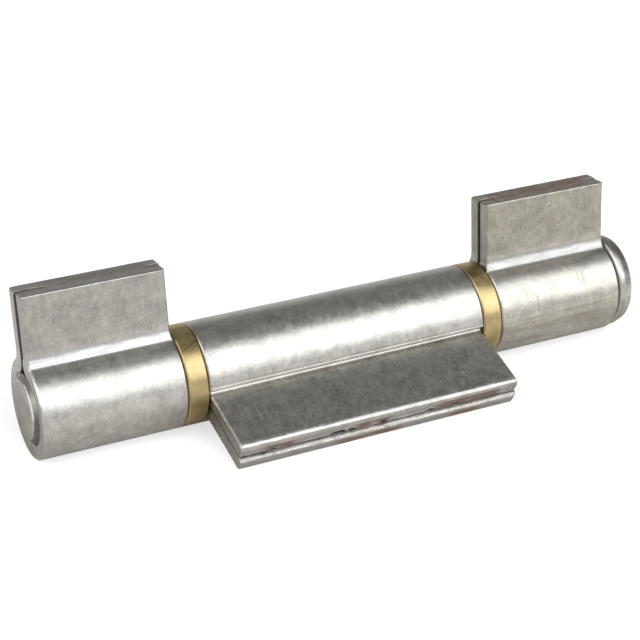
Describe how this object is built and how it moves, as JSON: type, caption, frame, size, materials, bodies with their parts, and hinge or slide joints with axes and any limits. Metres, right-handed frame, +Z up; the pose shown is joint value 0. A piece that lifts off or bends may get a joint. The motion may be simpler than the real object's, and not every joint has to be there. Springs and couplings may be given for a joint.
{
  "type": "weld-on barrel hinge",
  "caption": "Weld-on barrel hinge: folded steel knuckles with double-ply weld leaves turn on a headed pin, parted by brass washers.",
  "frame": {"origin": "on the pin's axis at the middle of the centre knuckle", "axes": "+X along the pin towards its head, +Z up with the hinge lying on its barrels and on the lower edge of the centre leaf, which points towards -Y"},
  "size_m": [0.1324, 0.0328, 0.0335],
  "materials": {
    "sheet_steel": "bare mill steel, rolled and oiled, with light rust on the sheared edges",
    "pin_steel": "bare turned steel",
    "washer_brass": "turned brass"
  },
  "bodies": {
    "centre_knuckle": {"centre_knuckle": "sheet_steel"},
    "left_knuckle": {"left_knuckle": "sheet_steel"},
    "right_knuckle": {"right_knuckle": "sheet_steel"},
    "left_washer": {"left_washer": "washer_brass"},
    "right_washer": {"right_washer": "washer_brass"},
    "pin": {"pin": "pin_steel"}
  },
  "joints": [
    {"name": "left_leaf_swing", "type": "hinge", "parent": "centre_knuckle", "child": "left_knuckle", "pos_m": [-0.0494, 0, 0], "axis": [1, 0, 0], "continuous": true},
    {"name": "right_leaf_swing", "type": "hinge", "parent": "centre_knuckle", "child": "right_knuckle", "pos_m": [0.0494, 0, 0], "axis": [1, 0, 0], "continuous": true},
    {"name": "left_washer_spin", "type": "hinge", "parent": "centre_knuckle", "child": "left_washer", "pos_m": [-0.0327, 0, 0], "axis": [1, 0, 0], "continuous": true},
    {"name": "right_washer_spin", "type": "hinge", "parent": "centre_knuckle", "child": "right_washer", "pos_m": [0.0327, 0, 0], "axis": [1, 0, 0], "continuous": true},
    {"name": "pin_draw", "type": "slide", "parent": "centre_knuckle", "child": "pin", "axis": [1, 0, 0], "range_m": [0, 0.13]}
  ]
}
